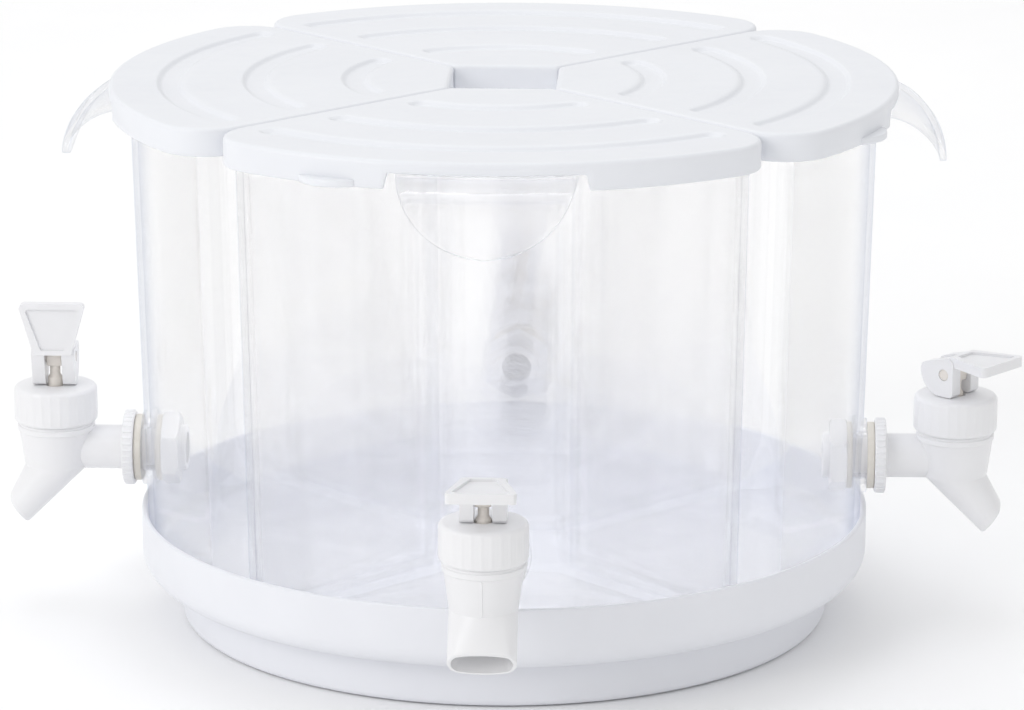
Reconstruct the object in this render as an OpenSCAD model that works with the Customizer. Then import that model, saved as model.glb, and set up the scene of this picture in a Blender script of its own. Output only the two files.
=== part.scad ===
// Rotating drink dispenser: four clear wedge tanks, each with its own lid and
// lever tap, stand in a white tray that turns on a ball race over a round foot.
// Millimetres. +Z is up, the origin is the middle of the resting face under the
// foot, -Y is the front station, +X the right one.
// Inside a station +X points outward from the turning axis.

/* [Lids] */
// Radius of the outer edge of the four lids
lid_r = 135; // [134:0.5:137]
// Height of the lids' top face above the table
lid_top_z = 189.4; // [189:0.2:193]
// Height of a lid's skirt, plate included
lid_skirt_h = 9.4; // [8:0.2:10]
// Thickness of a lid's top plate
lid_plate = 2.6; // [2.4:0.1:2.8]
// Thickness of a lid's skirt
lid_skirt_t = 1.8; // [1.4:0.1:2]
// Distance from a lid's side edge to the seam between two lids
lid_seam = 0.4; // [0.3:0.05:0.8]
// Distance from the turning axis to a lid's inner edge
lid_inner_x = 18.2; // [17:0.1:20]
// Radius of a lid's two outer corners
lid_corner_r = 17; // [12:0.5:18]
// Mean radii of the three moulded grooves
groove_radii = [51.2, 85.1, 114.2];
// Width of a groove at the surface
groove_w = 9.2; // [7:0.1:10]
// Depth of a groove
groove_depth = 1.2; // [0.8:0.1:1.4]
// Half width of the skirt's notch over the grip visor
notch_half_w = 32.5; // [31.5:0.5:34]
// Angle of the pull tab from the lid's centre line
pull_tab_angle = -22.5; // [-26:0.5:-20]

/* [Tanks] */
// Outer radius of a tank at its rim
tank_r = 128; // [127.5:0.1:128.4]
// Outer radius of a tank at its floor
tank_floor_r = 124; // [123:0.1:124.2]
// Wall thickness of a tank
tank_wall = 2; // [1.6:0.1:2.4]
// Distance from a tank's side wall to the seam, at the floor
tank_seam = 3; // [2.6:0.1:3.4]
// Distance from the turning axis to a tank's flat inner wall, at the floor
tank_inner_x = 23.5; // [22:0.5:26]
// Radius of a tank's two outer corners
tank_corner_r = 10; // [8:0.5:11]
// Outer radius of the rim flange
flange_r = 131.4; // [130.5:0.1:132]
// Radius of the visor's bend
visor_bend_r = 21.2; // [20:0.1:22]
// Thickness of the visor's sheet
visor_t = 2.2; // [1.8:0.1:2.6]
// Half width of the visor where it leaves the rim
visor_half_w = 29.6; // [28:0.2:30.4]

/* [Base] */
// Outer radius of the turning tray
tray_r = 126.6; // [126.2:0.1:128]
// Height of the tray's rim
tray_rim_z = 38.85; // [37:0.1:40]
// Height of the tray's underside
tray_bottom_z = 17; // [16.8:0.1:18]
// Radius of the tray's rounded bottom edge
tray_fillet_r = 7.5; // [6:0.5:9]
// Thickness of the tray's wall
tray_wall = 1.7; // [1.4:0.05:1.8]
// Outer radius of the foot
foot_r = 112.9; // [111:0.1:114]
// Number of balls in the turntable bearing
ball_count = 12; // [8:1:16]

/* [Taps] */
// Height of the tap tube's axis above the table
tap_z = 56; // [55:0.5:58]
// Distance from the turning axis to the tap barrel's axis
tap_x = 157; // [155:0.5:159]
// Outer radius of the tap's tube
tube_r = 7.65; // [7.2:0.05:7.8]
// Radius of the screw cap
cap_r = 14.65; // [14.3:0.05:15]
// Height of the screw cap
cap_h = 12.5; // [12:0.1:13]
// Number of grip ribs around the screw cap
cap_ribs = 28; // [20:1:36]
// Width of the lever's paddle at its tip
paddle_tip_w = 23.6; // [20:0.2:24]
// Distance from the lever's pin to the paddle's tip
lever_reach = 20.4; // [19:0.2:22]
// How far the lever lifts the plug in its quarter turn
plug_lift = 2; // [1.6:0.1:2.2]
// Swivel of each lever about its tap: front, right, back, left
lever_swivel = [0, -40, 0, -90];
// Quarter turns up of each lever: front, right, back, left
lever_up = [0, 0, 1, 1];

/* [Hidden] */
STATIONS = ["front", "right", "back", "left"];
STATION_TURN = [-90, 0, 90, 180];
STATION_PARTS = ["tank", "lid", "tap_body", "tap_cap", "tap_lever", "tap_stem",
                 "tap_plug", "tap_spring", "tap_nut", "washer_outer", "washer_inner"];
BASE_PARTS = ["foot", "foot_pads", "ball_cage", "bearing_balls", "tray",
              "pivot_screw", "pivot_washer"];
NODES = concat(BASE_PARTS, [for (s = STATIONS) for (p = STATION_PARTS) str(p, "_", s)]);
node = "all";

$fn = 96;
cut = 0.5;                      // how far a cutter runs past the face it opens
gap = 0.3;                      // air between parts of different bodies
white = [0.93, 0.94, 0.96];
clear = [0.88, 0.90, 0.94, 0.35];
silicone = [0.86, 0.83, 0.77];
steel = [0.75, 0.76, 0.78];

// tanks
tank_floor_z = tray_bottom_z + 2.4 + gap;
tank_rim_z = lid_top_z - lid_plate - gap;
tank_h = tank_rim_z - tank_floor_z;
tank_flare = tank_r / tank_floor_r;
tank_floor_t = 2.5;
tank_fillet_r = 6.5;
flange_t = 2;
visor_top_z = tank_rim_z - 1.7;
visor_root_r = tank_r + 2.4;
visor_axis_z = visor_top_z - visor_bend_r;
visor_drop = visor_bend_r + 1.6;
visor_trim_rise = (visor_half_w * visor_half_w - visor_drop * visor_drop) / (2 * visor_drop);

// tap, heights from the tube's axis
boss_r = 13;
boss_face_x = tank_r - 1.6;
pad_face_x = boss_face_x - 5;
tap_hole_r = 8.3;
thread_r = 7.9;
washer_t = 2.6;
tap_flange_x = boss_face_x + washer_t + 0.1;
tap_flange_t = 3.9;
nut_t = 6;
inner_washer_t = 2;
tube_end_x = pad_face_x - inner_washer_t - nut_t - 2.4;
chamber_r = 9.4;
seat_z = -5;
collar_z = 6.5;
cap_z = 10;
cap_top_z = cap_z + cap_h;
neck_r = 12.2;
neck_top_z = cap_top_z - 3;
cap_roof_z = cap_top_z - 2.2;
barrel_r = 12.9;
barrel_foot_r = 11.15;
barrel_foot_z = -6.2;
spout_slope = 53;
mouth_x = 12.7;
mouth_z = -21;
mouth_w = 22.3;
mouth_h = 12;
mouth_wall = 1.2;
bore_top_x = 1.5;
bore_top_r = 7.6;
stem_r = 2.6;
stem_waist_r = 1.8;
stem_collar_z = seat_z + 6.4;
pin_r = 2;
pin_fit = 0.05;

// lever, from its pin; ear_drop is the pin's height over the cap with the valve shut
ear_drop = 7.8;
ear_rise = 6.8;
ear_front = 4;
ear_t = 4.5;
ear_gap = 6;
ear_back_fall = 3;
paddle_t = 3.5;
paddle_root_x = 2;
paddle_root_w = 13;
recess_depth = 0.8;
cam_rate = plug_lift * 2 / PI;
cam_steps = 12;
function cam_support(turn) = ear_drop + plug_lift * turn / 90;
function cam_point(turn) = [
    -cam_support(turn) * sin(turn) - cam_rate * cos(turn),
    -cam_support(turn) * cos(turn) + cam_rate * sin(turn)
];
function pin_z(s) = cap_top_z + gap + ear_drop + plug_lift * lever_up[s];

// bearing and pivot
ball_r = 3;
ball_ring_r = 86;
ball_z = 11;
race_half_w = 6;
groove_clear = 0.2;
pivot_r = 7;
pivot_fit = 0.05;
hub_top_z = 15;
pocket_top_z = 6.6;
boss_end_z = pocket_top_z - 0.35;
pad_proud = 0.5;
pad_t = 1.6;
foot_floor_top_z = 2.9;
foot_top_z = tray_bottom_z - 0.8;
centre_pad_r = 17;
pad_r = 8;
pad_ring_r = 98;

// ---------------------------------------------------------------- outlines

// A quarter wedge with its two outer corners rounded. Its sides keep the
// distance seam from the 45 degree seams, its inner edge is straight.
module wedge(outer_r, seam, inner_x, corner_r) {
    side = seam * sqrt(2);
    reach = outer_r - corner_r;
    shift = side + corner_r * sqrt(2);
    corner_x = (shift + sqrt(2 * reach * reach - shift * shift)) / 2;
    corner_y = corner_x - shift;
    touch_x = corner_x - corner_r / sqrt(2);
    touch_y = corner_y + corner_r / sqrt(2);
    inner_y = inner_x - side;
    polygon([[inner_x, -inner_y], [touch_x, -touch_y], [corner_x, -corner_y],
             [corner_x, corner_y], [touch_x, touch_y], [inner_x, inner_y]]);
    intersection() {
        circle(r = outer_r);
        polygon([[corner_x / 2, -corner_y / 2], [2 * corner_x, -2 * corner_y],
                 [2 * corner_x, 2 * corner_y], [corner_x / 2, corner_y / 2]]);
    }
    for (mirrored = [-1, 1])
        translate([corner_x, mirrored * corner_y]) circle(r = corner_r);
}

module ring_sector(inner_r, outer_r, z, h, half_angle) {
    translate([0, 0, z])
        rotate([0, 0, -half_angle])
            rotate_extrude(angle = 2 * half_angle)
                translate([inner_r, 0]) square([outer_r - inner_r, h]);
}

module disc(r, z, h) {
    translate([0, 0, z]) cylinder(r = r, h = h);
}

module tube_ring(outer_r, inner_r, z, h) {
    difference() {
        disc(outer_r, z, h);
        disc(inner_r, z - cut, h + 2 * cut);
    }
}

// A cylinder along the station's outward axis, at the tap's height
module radial_disc(r, x, length) {
    translate([x, 0, tap_z]) rotate([0, 90, 0]) cylinder(r = r, h = length);
}

// Puts children at the barrel's axis, with zero height at the tube's axis
module at_barrel() {
    translate([tap_x, 0, tap_z]) children();
}

// ---------------------------------------------------------------- base

module foot() {
    color(white) difference() {
        union() {
            rotate_extrude() polygon([
                [0, pad_proud], [foot_r - 3, pad_proud], [foot_r - 0.9, pad_proud + 0.9],
                [foot_r, pad_proud + 3], [foot_r, foot_top_z], [foot_r - 2.2, foot_top_z],
                [foot_r - 2.2, foot_floor_top_z + 2], [foot_r - 4.2, foot_floor_top_z],
                [0, foot_floor_top_z]]);
            disc(15.4, foot_floor_top_z - cut, pocket_top_z + 2.4 - foot_floor_top_z + cut);
            disc(10, pocket_top_z, hub_top_z - pocket_top_z);
            tube_ring(ball_ring_r + race_half_w, ball_ring_r - race_half_w,
                      foot_floor_top_z - cut, ball_z - 1.1 - foot_floor_top_z + cut);
        }
        disc(pivot_r + pivot_fit, 0, hub_top_z + cut);
        disc(13, 0, pocket_top_z);
        disc(centre_pad_r + 0.2, 0, pad_t);
        for (turn = [45 : 90 : 315])
            rotate([0, 0, turn]) translate([pad_ring_r, 0, 0])
                cylinder(r = pad_r + 0.2, h = pad_t);
        bearing_groove(ball_z + groove_clear - 0.02);
    }
}

module bearing_groove(z) {
    translate([0, 0, z])
        rotate_extrude() translate([ball_ring_r, 0]) circle(r = ball_r + groove_clear);
}

module foot_pads() {
    color([0.35, 0.36, 0.38]) {
        disc(centre_pad_r, 0, pad_t);
        for (turn = [45 : 90 : 315])
            rotate([0, 0, turn]) translate([pad_ring_r, 0, 0])
                cylinder(r = pad_r, h = pad_t);
    }
}

module ball_cage() {
    color(white) difference() {
        tube_ring(ball_ring_r + race_half_w - 1, ball_ring_r - race_half_w + 1,
                  ball_z - 0.8, 1.6);
        for (i = [0 : ball_count - 1])
            rotate([0, 0, i * 360 / ball_count]) translate([ball_ring_r, 0, 0])
                disc(ball_r + 0.05, ball_z - 2, 4);
    }
}

module bearing_balls() {
    color(steel)
        for (i = [0 : ball_count - 1])
            rotate([0, 0, i * 360 / ball_count])
                translate([ball_ring_r, 0, ball_z]) sphere(r = ball_r, $fn = 48);
}

module tray() {
    inner_r = tray_r - tray_wall;
    floor_top_z = tray_bottom_z + 2.4;
    color(white) difference() {
        union() {
            rotate_extrude() union() {
                polygon([[0, tray_bottom_z], [tray_r - tray_fillet_r, tray_bottom_z],
                         [tray_r - tray_fillet_r, floor_top_z], [0, floor_top_z]]);
                intersection() {
                    difference() {
                        translate([tray_r - tray_fillet_r, tray_bottom_z + tray_fillet_r])
                            circle(r = tray_fillet_r);
                        translate([tray_r - tray_fillet_r, tray_bottom_z + tray_fillet_r])
                            circle(r = tray_fillet_r - tray_wall);
                    }
                    translate([tray_r - tray_fillet_r, tray_bottom_z])
                        square(tray_fillet_r);
                }
                polygon([[tray_r - tray_fillet_r - 1, tray_bottom_z],
                         [tray_r - tray_fillet_r, tray_bottom_z],
                         [inner_r - 2, tray_bottom_z + tray_fillet_r - 3],
                         [tray_r - tray_fillet_r, floor_top_z]]);
                polygon([[inner_r, tray_bottom_z + tray_fillet_r],
                         [tray_r, tray_bottom_z + tray_fillet_r],
                         [tray_r, tray_rim_z - 0.6], [tray_r - 0.5, tray_rim_z],
                         [inner_r + 0.5, tray_rim_z], [inner_r, tray_rim_z - 0.6]]);
            }
            disc(pivot_r, boss_end_z, tray_bottom_z - boss_end_z + cut);
            tube_ring(ball_ring_r + race_half_w, ball_ring_r - race_half_w,
                      ball_z + 1.1, tray_bottom_z - ball_z - 1.1 + cut);
            tube_ring(foot_r - 3.4, foot_r - 5.2, tray_bottom_z - 3.5, 3.5 + cut);
        }
        disc(1.9, boss_end_z - cut, 9);
        bearing_groove(ball_z - groove_clear + 0.02);
    }
}

module pivot_washer() {
    color(steel) tube_ring(10, 2.3, boss_end_z - 1.25, 1.2);
}

module pivot_screw() {
    head_z = boss_end_z - 1.3 - 2.6;
    color(steel) difference() {
        union() {
            disc(4.2, head_z, 2.6);
            disc(1.85, head_z + cut, 2.6 + 8);
        }
        for (turn = [0, 90])
            rotate([0, 0, turn]) translate([-2.4, -0.45, head_z - cut])
                cube([4.8, 0.9, 1.2 + cut]);
    }
}

// ---------------------------------------------------------------- tank and lid

// One thin level of the tank's drafted wedge, moved in by inset on every side
// and by drop more on its outer side
module tank_level(inset, drop, z) {
    flare = 1 + (tank_flare - 1) * (z - tank_floor_z) / tank_h;
    translate([0, 0, z]) linear_extrude(height = 0.01)
        wedge(tank_floor_r * flare - inset - drop, tank_seam * flare + inset,
              tank_inner_x * flare + inset, tank_corner_r - inset, $fn = 72);
}

// The tank's drafted wedge between two heights, its outer bottom edge rounded
module tank_wedge(inset, bottom_z, top_z, fillet_r) {
    hull() {
        for (turn = [0 : 30 : 90])
            tank_level(inset, fillet_r * (1 - sin(turn)),
                       bottom_z + fillet_r * (1 - cos(turn)));
        tank_level(inset, 0, top_z - 0.01);
    }
}

// Grip visor: a sheet bent a quarter turn outward and down, its edge a round arc
module visor() {
    intersection() {
        rotate([0, 0, -16]) rotate_extrude(angle = 32) difference() {
            union() {
                intersection() {
                    translate([visor_root_r, visor_axis_z]) circle(r = visor_bend_r);
                    translate([visor_root_r, visor_axis_z - 1.6])
                        square(visor_bend_r + 2);
                }
                translate([tank_r - tank_wall / 2, visor_top_z - visor_t])
                    square([visor_root_r - tank_r + tank_wall, visor_t]);
            }
            translate([visor_root_r, visor_axis_z]) circle(r = visor_bend_r - visor_t);
        }
        translate([0, 0, visor_top_z + visor_trim_rise]) rotate([0, 90, 0])
            cylinder(r = visor_drop + visor_trim_rise, h = 2 * tank_r);
    }
}

module tank() {
    color(clear) difference() {
        union() {
            difference() {
                union() {
                    tank_wedge(0, tank_floor_z, tank_rim_z, tank_fillet_r);
                    ring_sector(tank_r - tank_wall / 2, flange_r, tank_rim_z - flange_t,
                                flange_t, 36);
                    visor();
                    radial_disc(boss_r, pad_face_x + 1.4, boss_face_x - pad_face_x - 1.4);
                }
                tank_wedge(tank_wall, tank_floor_z + tank_floor_t, tank_rim_z + 1,
                           tank_fillet_r - tank_wall);
            }
            radial_disc(boss_r + 1, pad_face_x, boss_face_x - pad_face_x - 1.5);
        }
        radial_disc(tap_hole_r, pad_face_x - cut, boss_face_x - pad_face_x + 2 * cut);
    }
}

module lid_groove(r) {
    edge = 8 + lid_seam + groove_w / 2;
    half_angle = 45 - asin(edge / r);
    floor_half = groove_w / 2 - groove_depth;
    floor_z = lid_top_z - groove_depth;
    rotate([0, 0, -half_angle]) rotate_extrude(angle = 2 * half_angle)
        polygon([[r - floor_half, floor_z], [r + floor_half, floor_z],
                 [r + groove_w / 2 + cut, lid_top_z + cut],
                 [r - groove_w / 2 - cut, lid_top_z + cut]]);
    for (turn = [-half_angle, half_angle])
        rotate([0, 0, turn]) translate([r, 0, floor_z])
            cylinder(r1 = floor_half, r2 = groove_w / 2 + cut, h = groove_depth + cut);
}

module lid() {
    skirt_z = lid_top_z - lid_skirt_h;
    inner_r = lid_r - lid_skirt_t;
    color(white) difference() {
        union() {
            translate([0, 0, skirt_z]) linear_extrude(height = lid_skirt_h)
                wedge(lid_r, lid_seam, lid_inner_x, lid_corner_r);
            rotate([0, 0, pull_tab_angle]) translate([lid_r - 10, 0, skirt_z])
                cylinder(r = 14, h = 2.4);
        }
        translate([0, 0, skirt_z - cut])
            linear_extrude(height = lid_skirt_h - lid_plate + cut)
                wedge(inner_r, lid_seam + lid_skirt_t, lid_inner_x + lid_skirt_t,
                      lid_corner_r - lid_skirt_t);
        translate([inner_r - 12, -notch_half_w, skirt_z - cut])
            cube([30, 2 * notch_half_w, visor_top_z + 0.5 - skirt_z + cut]);
        for (r = groove_radii) lid_groove(r);
    }
}

// ---------------------------------------------------------------- tap

// A flat-sided oval plate facing along the spout, centred on its mouth
module mouth_plate(inset, length) {
    w = mouth_w - 2 * inset;
    h = mouth_h - 2 * inset;
    translate([mouth_x, 0, mouth_z]) rotate([0, 180 - spout_slope, 0])
        rotate([180, 0, 0]) linear_extrude(height = length) hull()
            for (side = [-1, 1])
                translate([0, side * (w - h) / 2]) circle(d = h, $fn = 32);
}

module spout_outside() {
    hull() {
        translate([0, 0, barrel_foot_z]) cylinder(r = barrel_foot_r, h = 0.4, $fn = 48);
        mouth_plate(0, 0.6);
    }
}

module spout_bore() {
    hull() {
        translate([bore_top_x, 0, seat_z - 2.2]) cylinder(r = bore_top_r, h = 0.2, $fn = 48);
        mouth_plate(mouth_wall, 0.6);
    }
    hull() {
        mouth_plate(mouth_wall, 0.6);
        translate([sin(spout_slope), 0, -cos(spout_slope)] * 2)
            mouth_plate(mouth_wall, 0.6);
    }
}

module tap_body() {
    color(white) difference() {
        union() {
            radial_disc(thread_r, tube_end_x, tap_flange_x - tube_end_x + cut);
            radial_disc(12.8, tap_flange_x, tap_flange_t);
            radial_disc(tube_r, tap_flange_x, tap_x - tap_flange_x);
            at_barrel() {
                translate([0, 0, barrel_foot_z])
                    cylinder(r1 = barrel_foot_r, r2 = barrel_r, h = collar_z - barrel_foot_z);
                disc(13.6, collar_z, 3);
                disc(neck_r, collar_z, neck_top_z - collar_z);
                spout_outside();
            }
        }
        radial_disc(5.5, tube_end_x - cut, tap_x - tube_end_x + cut);
        at_barrel() {
            disc(chamber_r, seat_z, neck_top_z - seat_z + cut);
            disc(6.3, seat_z - 3, 3 + cut);
            spout_bore();
        }
    }
}

module tap_cap() {
    color(white) at_barrel() difference() {
        union() {
            rotate_extrude() polygon([
                [0, cap_z], [cap_r - 1.6, cap_z], [cap_r - 0.4, cap_z + 1.4],
                [cap_r - 0.4, cap_top_z - 1], [cap_r - 1.4, cap_top_z], [0, cap_top_z]]);
            for (i = [0 : cap_ribs - 1])
                rotate([0, 0, i * 360 / cap_ribs]) translate([cap_r - 0.8, 0, cap_z + 1.1])
                    cylinder(r = 0.8, h = cap_h - 2.6);
        }
        disc(neck_r + 0.1, cap_z - cut, cap_roof_z - cap_z + cut);
        disc(stem_r + 0.6, cap_roof_z - cut, cap_h);
    }
}

module tap_nut() {
    color(white) difference() {
        translate([pad_face_x - inner_washer_t - nut_t, 0, tap_z]) rotate([0, 90, 0])
            cylinder(r = 13.2, h = nut_t, $fn = 6);
        radial_disc(thread_r + 0.05, tube_end_x, 30);
    }
}

module washer_outer() {
    color(silicone) difference() {
        radial_disc(11.6, boss_face_x + 0.05, washer_t);
        radial_disc(thread_r + 0.2, boss_face_x - cut, washer_t + 2 * cut);
    }
}

module washer_inner() {
    color(silicone) difference() {
        radial_disc(11.6, pad_face_x - inner_washer_t, inner_washer_t - 0.05);
        radial_disc(thread_r + 0.2, pad_face_x - inner_washer_t - cut, inner_washer_t + 2 * cut);
    }
}

// Silicone plug: a cone that closes the seat, with a sleeve around the stem's end
module tap_plug(s) {
    lift = plug_lift * lever_up[s];
    color(silicone) at_barrel() translate([0, 0, seat_z + 0.02 + lift]) difference() {
        rotate_extrude() polygon([
            [0, 0], [7.4, 0], [8.4, 1], [8.4, 2.2], [5, 3.4], [4.2, 6], [0, 6]]);
        disc(stem_r + pin_fit, 1.4, 6);
    }
}

// Stem with a T head whose arms are the lever's pin
module tap_stem(s) {
    lift = plug_lift * lever_up[s];
    bottom = seat_z + 1.6 + lift;
    shoulder = cap_top_z + lift + 0.7;
    color(silicone) at_barrel() {
        disc(stem_r, bottom, shoulder - bottom);
        translate([0, 0, shoulder]) cylinder(r1 = stem_r, r2 = stem_waist_r, h = 1.2);
        disc(stem_waist_r, shoulder, pin_z(s) - shoulder);
        disc(4.4, stem_collar_z + lift, 1.4);
        rotate([0, 0, lever_swivel[s]]) translate([0, 0, pin_z(s)]) {
            rotate([90, 0, 0])
                cylinder(r = pin_r, h = ear_gap + 2 * ear_t - 0.4, center = true);
            intersection() {
                translate([-2.6, -(ear_gap - 0.8) / 2, -3])
                    cube([5.2, ear_gap - 0.8, 6]);
                rotate([90, 0, 0]) cylinder(r = 3.2, h = ear_gap, center = true);
            }
        }
    }
}

// Compression spring between the stem's collar and the cap's roof
module tap_spring(s) {
    bottom = stem_collar_z + plug_lift * lever_up[s] + 1.4 + 0.5;
    top = cap_roof_z - 0.5;
    turns = 5;
    pitch = (top - bottom) / turns;
    color(steel) at_barrel()
        for (i = [0 : turns])
            translate([0, 0, bottom + i * pitch])
                rotate_extrude() translate([3.9, 0]) circle(r = 0.4, $fn = 24);
}

// Lever as it lies with the valve shut, pin at the origin, paddle towards +X
module lever_ears() {
    ear_w = ear_gap + 2 * ear_t;
    back_x = -ear_drop - plug_lift;
    difference() {
        rotate([90, 0, 0]) translate([0, 0, -ear_w / 2]) linear_extrude(height = ear_w)
            polygon(concat(
                [[ear_front, ear_rise - paddle_t / 2], [ear_front, -ear_drop + 1],
                 [ear_front - 1, -ear_drop]],
                [for (i = [0 : cam_steps]) cam_point(90 * i / cam_steps)],
                [[back_x, ear_rise - ear_back_fall - 1.6], [back_x + 1.6, ear_rise - ear_back_fall],
                 [paddle_root_x, ear_rise - 0.6]]));
        translate([back_x - cut, -ear_gap / 2, -ear_drop - cut])
            cube([ear_front - back_x + 2 * cut, ear_gap, ear_drop + ear_rise + 2 * cut]);
    }
}

// The paddle's outline, moved in by side, root and tip
module paddle_outline(side, root, tip) {
    root_half = paddle_root_w / 2 - side;
    tip_half = paddle_tip_w / 2 - side;
    polygon([[paddle_root_x + root, -root_half], [lever_reach - tip, -tip_half],
             [lever_reach - tip, tip_half], [paddle_root_x + root, root_half]]);
}

module lever_shape() {
    difference() {
        union() {
            lever_ears();
            translate([0, 0, ear_rise - paddle_t]) linear_extrude(height = paddle_t)
                paddle_outline(0, 0, 0);
        }
        rotate([90, 0, 0])
            cylinder(r = pin_r + pin_fit, h = ear_gap + 2 * ear_t + 2 * cut, center = true);
        translate([0, 0, ear_rise - recess_depth]) linear_extrude(height = recess_depth + cut)
            paddle_outline(2.4, 1.6, 2);
    }
}

module tap_lever(s) {
    color(white) at_barrel() translate([0, 0, pin_z(s)])
        rotate([0, 0, lever_swivel[s]]) rotate([0, -90 * lever_up[s], 0]) lever_shape();
}

// ---------------------------------------------------------------- drawing

function wanted(name) = node == "all" || node == name;
function wanted_at(part, s) = wanted(str(part, "_", STATIONS[s]));
module in_station(s) {
    rotate([0, 0, STATION_TURN[s]]) children();
}

if (wanted("foot")) foot();
if (wanted("foot_pads")) foot_pads();
if (wanted("ball_cage")) ball_cage();
if (wanted("bearing_balls")) bearing_balls();
if (wanted("tray")) tray();
if (wanted("pivot_screw")) pivot_screw();
if (wanted("pivot_washer")) pivot_washer();
for (s = [0 : 3]) {
    if (wanted_at("tank", s)) in_station(s) tank();
    if (wanted_at("lid", s)) in_station(s) lid();
    if (wanted_at("tap_body", s)) in_station(s) tap_body();
    if (wanted_at("tap_cap", s)) in_station(s) tap_cap();
    if (wanted_at("tap_lever", s)) in_station(s) tap_lever(s);
    if (wanted_at("tap_stem", s)) in_station(s) tap_stem(s);
    if (wanted_at("tap_plug", s)) in_station(s) tap_plug(s);
    if (wanted_at("tap_spring", s)) in_station(s) tap_spring(s);
    if (wanted_at("tap_nut", s)) in_station(s) tap_nut();
    if (wanted_at("washer_outer", s)) in_station(s) washer_outer();
    if (wanted_at("washer_inner", s)) in_station(s) washer_inner();
}
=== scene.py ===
"""Looks of the rotating drink dispenser: four clear tanks with lids and taps on a turning tray.

Shapes are written in millimetres in a station's own frame (+X points outward from the turning
axis, +Z up) and become metres when a piece is made. Every piece is turned to its station.
"""

import math

import bmesh
import bpy
from mathutils import Matrix, Vector


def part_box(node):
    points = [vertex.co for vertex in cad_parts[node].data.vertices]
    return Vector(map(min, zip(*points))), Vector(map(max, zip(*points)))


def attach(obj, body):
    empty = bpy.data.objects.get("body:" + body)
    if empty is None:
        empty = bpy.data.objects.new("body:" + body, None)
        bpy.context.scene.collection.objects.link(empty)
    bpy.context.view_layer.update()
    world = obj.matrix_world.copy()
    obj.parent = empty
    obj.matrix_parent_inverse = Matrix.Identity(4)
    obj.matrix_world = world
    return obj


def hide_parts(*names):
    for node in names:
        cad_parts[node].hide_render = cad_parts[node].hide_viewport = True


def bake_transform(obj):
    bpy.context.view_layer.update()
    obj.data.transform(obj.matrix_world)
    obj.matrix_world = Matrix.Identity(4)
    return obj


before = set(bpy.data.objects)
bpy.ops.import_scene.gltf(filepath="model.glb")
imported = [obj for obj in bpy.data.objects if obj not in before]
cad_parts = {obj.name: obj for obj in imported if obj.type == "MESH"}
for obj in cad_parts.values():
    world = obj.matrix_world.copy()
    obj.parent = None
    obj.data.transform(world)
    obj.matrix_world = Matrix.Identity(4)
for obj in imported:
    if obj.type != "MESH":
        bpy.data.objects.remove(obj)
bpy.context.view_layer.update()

MM = 0.001
STATIONS = {"front": -90, "right": 0, "back": 90, "left": 180}
LEVER_SWIVEL = {"front": 0, "right": -40, "back": 0, "left": -90}
LEVER_UP = {"front": 0, "right": 0, "back": 1, "left": 1}


def top_mm(node):
    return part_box(node)[1].z / MM


def bottom_mm(node):
    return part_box(node)[0].z / MM


# Heights and radii that the frame gives
LID_TOP = top_mm("lid_right")
LID_BOTTOM = bottom_mm("lid_right")
TANK_BOTTOM = bottom_mm("tank_right")
TANK_RIM = top_mm("tank_right")
TRAY_RIM = top_mm("tray")
TRAY_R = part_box("tray")[1].x / MM
FOOT_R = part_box("foot")[1].x / MM
FOOT_TOP = top_mm("foot")
CAP_BOX = [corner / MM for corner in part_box("tap_cap_right")]
TAP_X = (CAP_BOX[0].x + CAP_BOX[1].x) / 2
CAP_R = (CAP_BOX[1].x - CAP_BOX[0].x) / 2
WASHER_BOX = [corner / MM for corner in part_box("washer_outer_right")]
TAP_Z = (WASHER_BOX[0].z + WASHER_BOX[1].z) / 2
BOSS_X = WASHER_BOX[0].x - 0.05
NUT_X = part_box("tap_nut_right")[0].x / MM
TUBE_END_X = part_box("tap_body_right")[0].x / MM

# Sizes of the moulded shapes
LID_R = 135.0
LID_SEAM = 0.4
LID_INNER_X = 18.2
LID_CORNER = 17.0
LID_PLATE = 2.6
LID_SKIRT_T = 1.8
LID_EDGE_ROUND = 1.5
GROOVE_RADII = (51.2, 85.1, 114.2)
GROOVE_HALF_W = 4.7
GROOVE_DEPTH = 1.25
GROOVE_SOFT = 1.9
GROOVE_MARGIN = 8.0
NOTCH_HALF_W = 32.5
TANK_R = 128.0
TANK_FLOOR_R = 124.0
TANK_WALL = 2.0
TANK_SEAM = 3.0
TANK_INNER_X = 23.5
TANK_CORNER = 10.0
TANK_FILLET = 6.5
TANK_FLOOR_T = 2.5
FLANGE_R = 131.4
FLANGE_T = 2.0
VISOR_BEND = 21.2
VISOR_T = 2.2
VISOR_HALF_W = 29.6
TUBE_R = 7.65
THREAD_R = 7.9
BARREL_R = 12.9
BARREL_FOOT_R = 11.15
BARREL_FOOT_Z = -6.2
SEAT_Z = -5.0
NECK_TOP = 19.5
FLANGE_RIBS = 36
MOUTH_W = 22.3
MOUTH_H = 12.0
SPOUT_SLOPE = 53.0
MOUTH = Vector((12.7, 0.0, -21.0))


# ------------------------------------------------------------------ mesh helpers

def piece_from(name, verts, faces, smooth=True):
    """A new object from vertices in millimetres."""
    mesh = bpy.data.meshes.new(name)
    mesh.from_pydata([[c * MM for c in v] for v in verts], [], faces)
    mesh.validate()
    bm = bmesh.new()
    bm.from_mesh(mesh)
    bmesh.ops.remove_doubles(bm, verts=bm.verts, dist=1e-7)
    bmesh.ops.recalc_face_normals(bm, faces=bm.faces)
    bm.to_mesh(mesh)
    bm.free()
    obj = bpy.data.objects.new(name, mesh)
    bpy.context.scene.collection.objects.link(obj)
    if smooth:
        mesh.shade_smooth()
    return obj


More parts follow.
